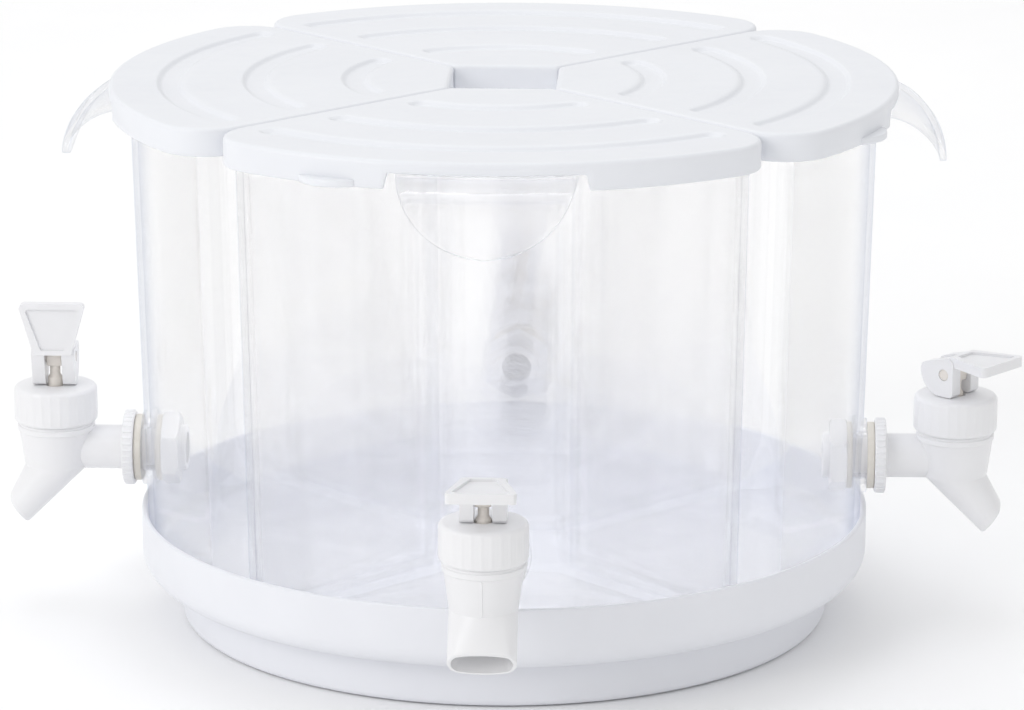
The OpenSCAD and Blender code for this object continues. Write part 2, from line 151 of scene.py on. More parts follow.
def ring_faces(rows, count, closed=True, start=0):
    """Quads between successive rows of count points each."""
    faces = []
    last = count if closed else count - 1
    for row in range(rows - 1):
        for i in range(last):
            a = start + row * count + i
            b = start + row * count + (i + 1) % count
            faces.append((a, b, b + count, a + count))
    return faces


def loft(name, loops, wrap=False, cap_start=False, cap_end=False):
    """A skin through closed loops of equal length; wrap joins the last to the first."""
    count = len(loops[0])
    verts = [p for loop in loops for p in loop]
    faces = ring_faces(len(loops), count)
    if wrap:
        base = (len(loops) - 1) * count
        faces += [(base + i, base + (i + 1) % count, (i + 1) % count, i) for i in range(count)]
    if cap_start:
        faces.append(tuple(range(count)))
    if cap_end:
        base = (len(loops) - 1) * count
        faces.append(tuple(base + i for i in range(count)))
    return piece_from(name, verts, faces)


def round_corners(points, radii, steps=5):
    """A closed 2D outline with each corner rounded by its radius."""
    result = []
    count = len(points)
    for i, point in enumerate(points):
        radius = radii[i] if isinstance(radii, (list, tuple)) else radii
        here = Vector(point)
        back = Vector(points[i - 1]) - here
        ahead = Vector(points[(i + 1) % count]) - here
        if radius <= 0:
            result.append(tuple(here))
            continue
        half = back.angle(ahead) / 2
        reach = min(radius / math.tan(half), back.length * 0.49, ahead.length * 0.49)
        true_r = reach * math.tan(half)
        middle = here + (back.normalized() + ahead.normalized()).normalized() * (
            true_r / math.sin(half))
        start = here + back.normalized() * reach - middle
        turn = start.angle_signed(here + ahead.normalized() * reach - middle)
        for k in range(steps + 1):
            angle = -turn * k / steps
            c, s = math.cos(angle), math.sin(angle)
            result.append((middle.x + c * start.x - s * start.y,
                           middle.y + s * start.x + c * start.y))
    return result


def lathe(name, outline, segments=160, axis="z"):
    """A closed outline of (radius, height) turned about Z, or about X with height along X."""
    loops = []
    for i in range(segments):
        angle = 2 * math.pi * i / segments
        c, s = math.cos(angle), math.sin(angle)
        if axis == "z":
            loops.append([(r * c, r * s, h) for r, h in outline])
        else:
            loops.append([(h, r * c, r * s) for r, h in outline])
    return loft(name, loops, wrap=True)


def spun(name, outline, segments=160, axis="z"):
    """A solid turned about Z, or about X.

    Its outline of (radius, height) starts and ends on the axis."""
    loops = []
    for r, h in outline[1:-1]:
        loop = []
        for i in range(segments):
            c = r * math.cos(2 * math.pi * i / segments)
            d = r * math.sin(2 * math.pi * i / segments)
            loop.append((c, d, h) if axis == "z" else (h, c, d))
        loops.append(loop)
    return loft(name, loops, cap_start=True, cap_end=True)


def moved(obj, x=0.0, y=0.0, z=0.0):
    obj.data.transform(Matrix.Translation(Vector((x, y, z)) * MM))
    return obj


def turned(obj, degrees, axis="Z"):
    obj.data.transform(Matrix.Rotation(math.radians(degrees), 4, axis))
    return obj


def apply_modifiers(obj):
    graph = bpy.context.evaluated_depsgraph_get()
    mesh = bpy.data.meshes.new_from_object(obj.evaluated_get(graph))
    obj.modifiers.clear()
    old = obj.data
    obj.data = mesh
    bpy.data.meshes.remove(old)
    return obj


def combine(obj, other, operation):
    """Boolean of obj with other; other is used up."""
    step = obj.modifiers.new(operation, "BOOLEAN")
    step.operation = operation
    step.solver = "EXACT"
    step.object = other
    apply_modifiers(obj)
    bpy.data.objects.remove(other)
    return obj


def join(obj, *others):
    """Adds the meshes of others to obj as separate closed shells."""
    bm = bmesh.new()
    bm.from_mesh(obj.data)
    for other in others:
        bm.from_mesh(other.data)
    bm.to_mesh(obj.data)
    bm.free()
    for other in others:
        bpy.data.objects.remove(other)
    return obj


def soften(obj, width, segments=3, angle=32):
    """Rounds the sharp edges and keeps flat faces flat."""
    bevel = obj.modifiers.new("soft edges", "BEVEL")
    bevel.width = width * MM
    bevel.segments = segments
    bevel.limit_method = "ANGLE"
    bevel.angle_limit = math.radians(angle)
    bevel.harden_normals = True
    obj.data.shade_smooth()
    return apply_modifiers(obj)


def shade(obj, angle=40):
    obj.data.shade_smooth()
    obj.data.set_sharp_from_angle(angle=math.radians(angle))
    return obj


def prism(name, outline, low, high, plane="xy"):
    """A closed outline pushed from low to high along the third axis."""
    if plane == "xy":
        loops = [[(a, b, low) for a, b in outline], [(a, b, high) for a, b in outline]]
    else:
        loops = [[(a, low, b) for a, b in outline], [(a, high, b) for a, b in outline]]
    return loft(name, loops, cap_start=True, cap_end=True)


# ------------------------------------------------------------------ materials

class Material:
    """A node material being built: holds its tree and its Principled shader."""

    def __init__(self, name, **values):
        self.material = bpy.data.materials.new(name)
        self.material.use_nodes = True
        self.tree = self.material.node_tree
        self.shader = self.tree.nodes["Principled BSDF"]
        for key, value in values.items():
            self.shader.inputs[key.replace("_", " ")].default_value = value

    def node(self, kind, **settings):
        made = self.tree.nodes.new(kind)
        for key, value in settings.items():
            setattr(made, key, value)
        return made

    def link(self, out, to):
        self.tree.links.new(out, to)

    def noise(self, scale, detail=3.0, roughness=0.5, stretch=(1, 1, 1)):
        """Noise in the object's own coordinates, scale in features per metre."""
        coords = self.node("ShaderNodeTexCoord")
        mapping = self.node("ShaderNodeMapping")
        mapping.inputs["Scale"].default_value = stretch
        texture = self.node("ShaderNodeTexNoise")
        texture.inputs["Scale"].default_value = scale
        texture.inputs["Detail"].default_value = detail
        texture.inputs["Roughness"].default_value = roughness
        self.link(coords.outputs["Object"], mapping.inputs["Vector"])
        self.link(mapping.outputs["Vector"], texture.inputs["Vector"])
        return texture.outputs["Fac"]

    def spread(self, value, low, high, start=0.35, end=0.65):
        """Maps a 0..1 field between start and end to low..high."""
        span = self.node("ShaderNodeMapRange")
        for key, number in (("From Min", start), ("From Max", end),
                            ("To Min", low), ("To Max", high)):
            span.inputs[key].default_value = number
        self.link(value, span.inputs["Value"])
        return span.outputs["Result"]

    def tint(self, value, dark, light):
        ramp = self.node("ShaderNodeValToRGB")
        ramp.color_ramp.elements[0].position = 0.3
        ramp.color_ramp.elements[0].color = (*dark, 1)
        ramp.color_ramp.elements[1].position = 0.7
        ramp.color_ramp.elements[1].color = (*light, 1)
        self.link(value, ramp.inputs["Fac"])
        self.link(ramp.outputs["Color"], self.shader.inputs["Base Color"])

    def rough(self, value, low, high):
        self.link(self.spread(value, low, high), self.shader.inputs["Roughness"])

    def bump(self, value, height_mm, under=None):
        bump = self.node("ShaderNodeBump")
        bump.inputs["Strength"].default_value = 1.0
        bump.inputs["Distance"].default_value = height_mm * MM
        self.link(value, bump.inputs["Height"])
        if under is not None:
            self.link(under, bump.inputs["Normal"])
        self.link(bump.outputs["Normal"], self.shader.inputs["Normal"])
        return bump.outputs["Normal"]

    def round_edges(self, radius_mm):
        """Softens the look of the CAD solids' hard edges."""
        edge = self.node("ShaderNodeBevel", samples=4)
        edge.inputs["Radius"].default_value = radius_mm * MM
        return edge.outputs["Normal"]


def moulded_white(name, dark, light, rough, grain_mm=0.012, edges=0.0):
    """Injection-moulded white plastic: faint flow clouds, satin skin and fine mould grain."""
    m = Material(name, IOR=1.49, Specular_IOR_Level=0.45)
    clouds = m.noise(28, 4, 0.55)
    m.tint(clouds, dark, light)
    m.rough(m.noise(160, 3, 0.6), rough - 0.05, rough + 0.06)
    under = m.round_edges(edges) if edges else None
    wave = m.bump(m.noise(45, 2, 0.4), grain_mm * 3, under)
    m.bump(m.noise(1900, 2, 0.5), grain_mm, wave)
    return m.material


STRAIGHT_SHARE = 0.72  # how much of the view through the clear plastic isn't refracted


def clear_plastic():
    """Clear moulded polystyrene with faint flow waves.

    Lamps and bounced light pass straight through it, and so does part of what is seen behind,
    darker where the sheet is met edge-on and more of it lies in the way."""
    m = Material("clear_tank_plastic", IOR=1.3, Roughness=0.015, Transmission_Weight=1.0)
    m.shader.inputs["Base Color"].default_value = (1.0, 0.998, 0.998, 1)
    m.bump(m.noise(14, 2, 0.4, stretch=(1, 1, 0.35)), 0.06)
    path = m.node("ShaderNodeLightPath")
    passing = m.node("ShaderNodeMath", operation="MAXIMUM")
    straight_part = m.node("ShaderNodeMath", operation="MAXIMUM")
    straight_part.inputs[1].default_value = STRAIGHT_SHARE
    straight = m.node("ShaderNodeBsdfTransparent")
    edge = m.node("ShaderNodeLayerWeight")
    edge.inputs["Blend"].default_value = 0.5
    depth = m.node("ShaderNodeValToRGB")
    near, far = depth.color_ramp.elements
    near.position, near.color = 0.72, (0.998, 0.998, 0.999, 1)
    far.position, far.color = 1.0, (0.80, 0.82, 0.87, 1)
    m.link(edge.outputs["Facing"], depth.inputs["Fac"])
    m.link(depth.outputs["Color"], straight.inputs["Color"])
    mix = m.node("ShaderNodeMixShader")
    m.link(path.outputs["Is Shadow Ray"], passing.inputs[0])
    m.link(path.outputs["Is Diffuse Ray"], passing.inputs[1])
    m.link(passing.outputs["Value"], straight_part.inputs[0])
    m.link(straight_part.outputs["Value"], mix.inputs["Fac"])
    m.link(m.shader.outputs["BSDF"], mix.inputs[1])
    m.link(straight.outputs["BSDF"], mix.inputs[2])
    m.link(mix.outputs["Shader"], m.tree.nodes["Material Output"].inputs["Surface"])
    return m.material


def silicone(name, dark, light):
    m = Material(name, IOR=1.42, Specular_IOR_Level=0.35)
    m.tint(m.noise(220, 4), dark, light)
    m.rough(m.noise(500, 3), 0.45, 0.62)
    m.bump(m.noise(2400, 2), 0.02, m.round_edges(0.35))
    return m.material


def metal(name, dark, light, rough, edges=0.25):
    m = Material(name, Metallic=1.0)
    m.tint(m.noise(300, 4), dark, light)
    m.rough(m.noise(900, 3, stretch=(1, 1, 6)), rough - 0.06, rough + 0.08)
    m.bump(m.noise(2600, 2, stretch=(1, 1, 5)), 0.006, m.round_edges(edges))
    return m.material


def pad_rubber():
    m = Material("pad_rubber", IOR=1.5, Specular_IOR_Level=0.3)
    m.tint(m.noise(260, 5), (0.055, 0.057, 0.062), (0.085, 0.087, 0.093))
    m.rough(m.noise(600, 3), 0.7, 0.86)
    m.bump(m.noise(1500, 3), 0.05, m.round_edges(0.4))
    return m.material


LID_WHITE = moulded_white("lid_white", (0.785, 0.80, 0.838), (0.81, 0.825, 0.86), 0.36)
BASE_WHITE = moulded_white("base_white", (0.785, 0.795, 0.835), (0.81, 0.82, 0.858), 0.42)
TAP_WHITE = moulded_white("tap_white", (0.80, 0.80, 0.815), (0.83, 0.83, 0.842), 0.33,
                          grain_mm=0.008)
CAGE_WHITE = moulded_white("cage_white", (0.68, 0.69, 0.72), (0.72, 0.73, 0.76), 0.5, edges=0.3)
CLEAR = clear_plastic()
SEAL = silicone("seal_silicone", (0.68, 0.65, 0.59), (0.74, 0.71, 0.65))
NYLON = silicone("stem_nylon", (0.74, 0.70, 0.65), (0.80, 0.76, 0.71))
SPRING_STEEL = metal("spring_steel", (0.55, 0.56, 0.58), (0.66, 0.67, 0.69), 0.25)
BALL_STEEL = metal("ball_steel", (0.62, 0.63, 0.65), (0.70, 0.71, 0.73), 0.12)
ZINC = metal("zinc_steel", (0.52, 0.53, 0.56), (0.64, 0.65, 0.69), 0.34)
PAD = pad_rubber()


def dress(obj, material):
    """Puts one material on every face of an object."""
    obj.data.materials.clear()
    obj.data.materials.append(material)
    return obj


def place(obj, station, part, body, material, upper_body=None):
    """Turns a station-shaped piece to its station and sets it in for its CAD node.

    With an upper body given, its turn is baked into its mesh and it is not attached to a body."""
    turned(obj, STATIONS[station])
    dress(obj, material)
    if upper_body:
        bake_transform(obj)
    else:
        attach(obj, body)
    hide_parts(f"{part}_{station}")
    return obj


# ------------------------------------------------------------------ wedge outline

def corner_centre(outer_r, seam, corner_r):
    """Centre of the wedge's rounded outer corner, on the +Y side."""
    side = seam * math.sqrt(2)
    reach = outer_r - corner_r
    shift = side + corner_r * math.sqrt(2)
    x = (shift + math.sqrt(2 * reach * reach - shift * shift)) / 2
    return x, x - shift


CORNER_STEPS = 12
LID_CORNER_STEPS = 36
SIDE_STEPS = 34
ARC_STEPS = 96


def edge_rows(outer_r, seam, inner_x, corner_r, radii=None, corner_steps=CORNER_STEPS, crowd=1.0):
    """Half widths of the wedge from its inner edge to its outer arc.

    Returns points (x, y) down the +Y side: first along the straight side, at the given radii or
    evenly, then round the corner, where a crowd over 1 draws the points towards the side."""
    side = seam * math.sqrt(2)
    cx, cy = corner_centre(outer_r, seam, corner_r)
    touch = (cx - corner_r / math.sqrt(2), cy + corner_r / math.sqrt(2))
    start = (inner_x, inner_x - side)
    rows = []
    if radii is None:
        radii = [None] * SIDE_STEPS
    for i, radius in enumerate(radii):
        if radius is None:
            t = i / len(radii)
            rows.append((start[0] + (touch[0] - start[0]) * t,
                         start[1] + (touch[1] - start[1]) * t))
        else:
            x = (side + math.sqrt(2 * radius * radius - side * side)) / 2
            rows.append((x, x - side))
    tangent = math.atan2(cy, cx)
    for k in range(corner_steps + 1):
        angle = math.radians(135) + (tangent - math.radians(135)) * (k / corner_steps) ** crowd
        rows.append((cx + corner_r * math.cos(angle), cy + corner_r * math.sin(angle)))
    return rows


def wedge_loop(outer_r, seam, inner_x, corner_r, z, arc_bulge=None):
    """A closed loop round the wedge at height z, always with the same number of points."""
    rows = edge_rows(outer_r, seam, inner_x, corner_r)
    tangent = math.atan2(rows[-1][1], rows[-1][0])
    loop = [(x, -y, z) for x, y in rows]
    for i in range(1, ARC_STEPS):
        angle = -tangent + 2 * tangent * i / ARC_STEPS
        radius = outer_r + (arc_bulge(angle) if arc_bulge else 0)
        loop.append((radius * math.cos(angle), radius * math.sin(angle), z))
    loop += [(x, y, z) for x, y in reversed(rows)]
    inner_steps = 12
    half = rows[0][1]
    for i in range(1, inner_steps):
        loop.append((inner_x, half - 2 * half * i / inner_steps, z))
    return loop


# ------------------------------------------------------------------ tank

def tank_loop(inset, drop, z, bulge=None):
    flare = 1 + (TANK_R / TANK_FLOOR_R - 1) * (z - TANK_BOTTOM) / (TANK_RIM - TANK_BOTTOM)
    return wedge_loop(TANK_FLOOR_R * flare - inset - drop, TANK_SEAM * flare + inset,
                      TANK_INNER_X * flare + inset, TANK_CORNER - inset * 0.8, z, bulge)


def flange_bulge(amount):
    """Widens the outer arc into the rim flange, fading out before the corners."""
    def bulge(angle):
        beyond = (abs(math.degrees(angle)) - 33.5) / 3.0
        fade = min(1.0, max(0.0, 1 - beyond))
        return amount * fade * fade * (3 - 2 * fade)
    return bulge


def visor_piece():
    """Grip visor: a sheet bent outward and down, its edge a round arc, all edges rounded."""
    top_z = TANK_RIM - 1.7
    root_r = TANK_R + 2.4
    axis_z = top_z - VISOR_BEND
    drop = VISOR_BEND + 1.6
    rise = (VISOR_HALF_W ** 2 - drop ** 2) / (2 * drop)
    trim_r = drop + rise
    inner_bend = VISOR_BEND - VISOR_T
    mean_bend = (VISOR_BEND + inner_bend) / 2
    half_t = VISOR_T / 2
    straight = 3.4
    length = straight + mean_bend * math.pi / 2 + 1.5

    def path(s):
        """Middle of the sheet at length s from its root: radius, height, bend so far."""
        if s < straight:
            return root_r - straight + s, top_z - half_t, 0.0
        bend = (s - straight) / mean_bend
        if bend <= math.pi / 2:
            return (root_r + mean_bend * math.sin(bend),
                    axis_z + mean_bend * math.cos(bend), bend)
        return root_r + mean_bend, axis_z - (bend - math.pi / 2) * mean_bend, math.pi / 2

    def on_sheet(s, y, offset):
        """The point at length s and y to the side, offset from the sheet's middle."""
        r, z, bend = path(s)
        turn = y / r
        reach = r + offset * math.sin(bend)
        return reach * math.cos(turn), reach * math.sin(turn), z + offset * math.cos(bend)

    rows = 30
    columns = 26
    loops = []
    for i in range(rows + 1):
        t = i / rows
        s = length * (1 - (1 - t) ** 1.6)
        z = path(s)[1]
        below = top_z + rise - z
        half_y = VISOR_HALF_W
        if z < top_z - half_t - 0.05:
            half_y = max(math.sqrt(max(trim_r ** 2 - below ** 2, 0.0)), 2.2)
        section = []
        for side in (1, -1):
            for k in range(columns + 1):
                v = -1 + 2 * k / columns
                section.append(on_sheet(s, side * v * (half_y - half_t * 0.8), side * half_t))
            for k in (1, 2, 3):
                angle = math.pi * k / 4
                y = side * (half_y - half_t * 0.8 + half_t * 0.8 * math.sin(angle))
                section.append(on_sheet(s, y, side * half_t * math.cos(angle)))
        loops.append(section)
    # rounded tip: the last section shrinks onto the sheet's middle line
    r, z = path(length)[:2]
    for k in (1, 2, 3):
        angle = math.pi / 2 * k / 3
        closing = []
        for x, y, zz in loops[rows]:
            rr = math.hypot(x, y)
            new_r = r + (rr - r) * math.cos(angle) * 0.999
            scale = new_r / rr
            closing.append((x * scale, y * scale * (1 - k / 4), z - 0.3 * half_t * math.sin(angle)))
        loops.append(closing)
    return loft("visor", loops, cap_start=True, cap_end=True)


def tank_piece():
    """One clear tank: drafted wedge shell, rounded bottom and rim, tap boss, flange and visor."""
    loops = [tank_loop(inset, TANK_FILLET - 0.9, TANK_BOTTOM) for inset in (6.0, 2.0)]
    for turn in range(0, 91, 10):
        a = math.radians(turn)
        loops.append(tank_loop(0.9 * (1 - math.sin(a)), (TANK_FILLET - 0.9) * (1 - math.sin(a)),
                               TANK_BOTTOM + TANK_FILLET * (1 - math.cos(a))))
    for height in (40, 70, 100, 130, 160, 178):
        loops.append(tank_loop(0, 0, height))
    grow = FLANGE_R - TANK_R
    low = TANK_RIM - FLANGE_T
    loops.append(tank_loop(0, 0, low - 0.5))
    loops.append(tank_loop(0, 0, low - 0.05, flange_bulge(0.25)))
    for z, amount in ((low, 0.8), (low + 0.1, grow - 0.5), (low + 0.4, grow),
                      (TANK_RIM - 0.5, grow)):
        loops.append(tank_loop(0, 0, z, flange_bulge(amount)))
    loops.append(tank_loop(0.1, 0, TANK_RIM - 0.15, flange_bulge(grow - 0.2)))
    loops.append(tank_loop(0.5, 0, TANK_RIM, flange_bulge(grow - 0.7)))
    loops.append(tank_loop(TANK_WALL - 0.5, 0, TANK_RIM))
    loops.append(tank_loop(TANK_WALL - 0.1, 0, TANK_RIM - 0.15))
    loops.append(tank_loop(TANK_WALL, 0, TANK_RIM - 0.5))
    for height in (178, 160, 130, 100, 70, 40):
        loops.append(tank_loop(TANK_WALL, 0, height))
    inner = TANK_FILLET - TANK_WALL
    floor = TANK_BOTTOM + TANK_FLOOR_T
    for turn in range(90, -1, -10):
        a = math.radians(turn)
        loops.append(tank_loop(TANK_WALL + 0.9 * (1 - math.sin(a)), (inner - 0.9) * (1 - math.sin(a)),
                               floor + inner * (1 - math.cos(a))))
    loops += [tank_loop(TANK_WALL + inset, inner - 0.9, floor) for inset in (2.0, 6.0)]
    tank = loft("tank", loops, cap_start=True, cap_end=True)
    combine(tank, visor_piece(), "UNION")
    boss = spun("boss", round_corners(
        [(0, BOSS_X - 5.0), (14.0, BOSS_X - 5.0), (14.0, BOSS_X - 2.4), (13.0, BOSS_X - 2.2),
         (13.0, BOSS_X), (0, BOSS_X)], [0, 0.6, 0, 0, 0.5, 0]), 96, axis="x")
    moved(boss, z=TAP_Z)
    combine(tank, boss, "UNION")
    hole = spun("hole", [(0, BOSS_X - 8), (8.3, BOSS_X - 8), (8.3, BOSS_X + 4),
                          (0, BOSS_X + 4)], 96, axis="x")
    moved(hole, z=TAP_Z)
    combine(tank, hole, "DIFFERENCE")
    return shade(tank, 50)


# ------------------------------------------------------------------ lid

def groove_drop(x, y):
    """How far the lid's top face lies below its plane at a point."""
    radius = math.hypot(x, y)
    deepest = 0.0
    for middle in GROOVE_RADII:
        margin = GROOVE_MARGIN + LID_SEAM + GROOVE_HALF_W
        half_angle = math.radians(45) - math.asin(margin / middle)
        angle = math.atan2(y, x)
        if abs(angle) <= half_angle:
            distance = abs(radius - middle)
        else:
            end = math.copysign(half_angle, angle)
            distance = math.hypot(x - middle * math.cos(end), y - middle * math.sin(end))
        t = (GROOVE_HALF_W - distance) / GROOVE_SOFT
        t = min(1.0, max(0.0, t))
        deepest = max(deepest, GROOVE_DEPTH * t * t * (3 - 2 * t))
    return deepest


def lid_radii():
    """Radii of the lid's rows: close together over the groove walls, wider between them.

    They end just before the rounded corners begin."""
    radii = []
    radius = 32.0
    last = math.sqrt((LID_R - LID_CORNER) ** 2 - (LID_CORNER + LID_SEAM) ** 2) - 0.3
    while radius < last:
        radii.append(radius)
        near = min(abs(abs(radius - middle) - (GROOVE_HALF_W - GROOVE_SOFT / 2))
                   for middle in GROOVE_RADII)
        radius += 0.48 if near < GROOVE_SOFT * 0.9 else 1.5
    return radii


LID_RADII = lid_radii()
LID_COLUMNS = [-1 + 2 * i / 150 for i in range(151)]


def lid_rows(inset):
    """Rows of (x, y) across the lid, moved in by inset; the first is the straight inner edge."""
    outer_r = LID_R - inset
    seam = LID_SEAM + inset
    inner_x = LID_INNER_X + inset
    corner_r = LID_CORNER - inset
    side = seam * math.sqrt(2)
    edges = edge_rows(outer_r, seam, inner_x, corner_r, LID_RADII, LID_CORNER_STEPS, 1.4)
    rows = []
    blend_steps = 6
    first_r = math.hypot(*edges[0])
    for k in range(blend_steps):
        t = k / blend_steps
        half = (inner_x - side) + (edges[0][1] - inner_x + side) * t
        row = []
        for v in LID_COLUMNS:
            angle = v * math.atan2(edges[0][1], edges[0][0])
            line = (inner_x, v * (inner_x - side))
            arc = (first_r * math.cos(angle), first_r * math.sin(angle))
            row.append((line[0] + (arc[0] - line[0]) * t, line[1] + (arc[1] - line[1]) * t))
        row[0] = (half + side, -half)
        row[-1] = (half + side, half)
        rows.append(row)
    for x, y in edges:
        radius = math.hypot(x, y)
        limit = math.atan2(y, x)
        rows.append([(radius * math.cos(v * limit), radius * math.sin(v * limit))
                     for v in LID_COLUMNS])
    return rows


def rim_of(rows):
    """The outline of a grid of rows, in order round it."""
    rim = list(rows[0])
    rim += [row[-1] for row in rows[1:-1]]
    rim += list(reversed(rows[-1]))
    rim += [row[0] for row in reversed(rows[1:-1])]
    return rim


def skirt_foot(x, y, deepest):
    """Height of the skirt's lower edge: raised in the notch over the visor."""
    if math.hypot(x, y) < LID_R - 6 or abs(math.atan2(y, x)) > math.radians(30):
        return deepest
    t = (NOTCH_HALF_W + 0.5 - abs(y)) / 1.4
    t = min(1.0, max(0.0, t))
    return deepest + (TANK_RIM - 1.2 - LID_BOTTOM) * t * t * (3 - 2 * t)


def pull_tab():
    """Crescent tab at the foot of the skirt, with a rounded rim."""
    rim = 14.0
    reach = LID_R - 10
    outline = []
    steps = 28
    limit = math.acos((LID_R - 0.6 - reach) / rim) * 0.98
    for i in range(steps + 1):
        angle = -limit + 2 * limit * i / steps
        outline.append((reach + rim * math.cos(angle), rim * math.sin(angle)))
    for i in range(1, 8):
        y = outline[steps][1] * (1 - 2 * i / 8)
        outline.append((math.sqrt((LID_R - 1.2) ** 2 - y * y), y))
    tab = prism("pull_tab", outline, LID_BOTTOM, LID_BOTTOM + 2.4)
    soften(tab, 0.7, 3)
    return turned(tab, -22.5)


def lid_piece():
    """One lid: grooved plate with rounded edge, hollow skirt, visor notch and pull tab."""
    rows = lid_rows(LID_EDGE_ROUND)
    width = len(LID_COLUMNS)
    verts = []
    for row in rows:
        verts += [(x, y, LID_TOP - groove_drop(x, y)) for x, y in row]
    faces = ring_faces(len(rows), width, closed=False)
    levels = []
    for turn in (18, 36, 54, 72, 90):
        a = math.radians(turn)
        levels.append((LID_EDGE_ROUND * (1 - math.sin(a)),
                       LID_TOP - LID_EDGE_ROUND * (1 - math.cos(a)), None))
    # the skirt's foot, given by its height over the foot line
    levels += [(0.0, None, 0.5), (0.12, None, 0.12), (0.5, None, 0.0),
               (LID_SKIRT_T - 0.4, None, 0.0), (LID_SKIRT_T, None, 0.4)]
    # up the inside and round into the plate's underside
    under = LID_TOP - LID_PLATE
    levels += [(LID_SKIRT_T + inset, under - drop, None)
               for inset, drop in ((0, 0.8), (0.25, 0.2), (0.8, 0), (3.0, 0))]
    loops = [[(x, y, LID_TOP) for x, y in rim_of(rows)]]
    for inset, z, above_foot in levels:
        loop = []
        for x, y in rim_of(lid_rows(inset)):
            height = z if z is not None else skirt_foot(x, y, LID_BOTTOM) + above_foot
            loop.append((x, y, height))
        loops.append(loop)
    count = len(loops[0])
    start = len(verts)
    for loop in loops:
        verts += loop
    faces += ring_faces(len(loops), count, start=start)
    faces.append(tuple(start + (len(loops) - 1) * count + i for i in range(count)))
    lid = piece_from("lid", verts, faces)
    join(lid, pull_tab())
    return shade(lid, 60)


# ------------------------------------------------------------------ base

TRACK_R = 86.0
TRACK_INNER_R = 80.0
TRACK_OUTER_R = 92.0
PAD_CIRCLE_R = 98.0
PAD_POCKET_R = 8.2


def tray_piece():
    """Shallow tray: hub, ball track under the floor, location rib and upright rim."""
    bottom = bottom_mm("tray")
    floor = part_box("tank_right")[0].z / MM - 0.3
    under = 17.0
    wall = 1.7
    outline = round_corners(
        [(0, bottom), (7.0, bottom), (7.0, under), (TRACK_INNER_R, under),
         (TRACK_INNER_R, under - 4.9), (TRACK_R - 3.2, under - 4.9), (TRACK_R - 2.0, under - 3.3),
         (TRACK_R, under - 2.98), (TRACK_R + 2.0, under - 3.3), (TRACK_R + 3.2, under - 4.9),
         (TRACK_OUTER_R, under - 4.9), (TRACK_OUTER_R, under),
         (FOOT_R - 5.2, under), (FOOT_R - 5.2, under - 3.5), (FOOT_R - 3.4, under - 3.5),
         (FOOT_R - 3.4, under), (TRAY_R, under), (TRAY_R, TRAY_RIM), (TRAY_R - wall, TRAY_RIM),
         (TRAY_R - wall, floor), (112.0, floor), (20.0, floor), (0, floor)],
        [0, 0.4, 0.6, 0.6, 0.3, 0, 0, 0, 0, 0, 0.3, 0.6, 0.6, 0.3, 0.3, 0.6, 7.5, 0.75, 0.75, 5.6,
         0, 0, 0], steps=8)
    return shade(spun("tray_shell", outline, 240), 40)


def foot_piece():
    """Round foot: outer wall, ball track, hub with the pivot's bore and four pad pockets."""
    floor_low = 0.5
    floor_top = 2.9
    outline = round_corners(
        [(17.2, 1.6), (17.2, floor_low), (FOOT_R, floor_low), (FOOT_R, FOOT_TOP),
         (FOOT_R - 2.2, FOOT_TOP), (FOOT_R - 2.2, floor_top), (TRACK_OUTER_R, floor_top),
         (TRACK_OUTER_R, 9.9), (TRACK_R + 2.6, 9.9), (TRACK_R + 1.6, 8.4), (TRACK_R, 7.98),
         (TRACK_R - 1.6, 8.4), (TRACK_R - 2.6, 9.9), (TRACK_INNER_R, 9.9),
         (TRACK_INNER_R, floor_top), (15.4, floor_top), (15.4, 9.0), (10.0, 9.0), (10.0, 15.0),
         (7.05, 15.0), (7.05, 6.6), (13.0, 6.6), (13.0, 1.6)],
        [0.3, 0.3, 2.6, 0.5, 0.5, 2.0, 0.6, 0.4, 0, 0, 0, 0, 0, 0.4, 0.6, 0.6, 0.6, 0.8, 0.5, 0.3,
         0.3, 0.3, 0.3], steps=6)
    foot = lathe("foot_shell", outline, 240)
    for turn in (45, 135, 225, 315):
        pocket = spun("pocket", [(0, -1), (PAD_POCKET_R, -1), (PAD_POCKET_R, 1.6), (0, 1.6)], 48)
        moved(pocket, x=PAD_CIRCLE_R)
        combine(foot, turned(pocket, turn), "DIFFERENCE")
    return shade(foot, 35)


# ------------------------------------------------------------------ tap

def oval(width, height, count):
    """A flat-sided oval of count points, starting at its +Y end, as (y, depth)."""
    r = height / 2
    flat = (width - height) / 2
    points = []
    for k in range(count):
        angle = 2 * math.pi * k / count
        y = r * math.cos(angle)
        d = r * math.sin(angle)
        shift = flat * min(1.0, max(-1.0, 1.6 * math.cos(angle)))
        points.append((y + shift, d))
    return points


def spout_loops(radius, centre_x, start_z, inset, steps=12, count=64):
    """Sections from a round start at height start_z to the oval mouth, moved in by inset."""
    slope = math.radians(SPOUT_SLOPE)
    up = Vector((math.cos(slope), 0, math.sin(slope)))
    mouth = oval(MOUTH_W - 2 * inset, MOUTH_H - 2 * inset, count)
    loops = []
    for k in range(steps + 1):
        loop = []
        for i in range(count):
            angle = 2 * math.pi * i / count
            round_point = Vector((centre_x + radius * math.sin(angle), radius * math.cos(angle),
                                  start_z))
            y, depth = mouth[i]
            mouth_point = MOUTH + up * depth + Vector((0, y, 0))
            loop.append(tuple(round_point.lerp(mouth_point, k / steps)))
        loops.append(loop)
    return loops


def shifted(loop, step):
    return [tuple(Vector(point) + step) for point in loop]


def rings(profile, count=64):
    """Round loops about Z for a profile of (radius, height)."""
    return [[(r * math.sin(2 * math.pi * i / count), r * math.cos(2 * math.pi * i / count), z)
             for i in range(count)] for r, z in profile]


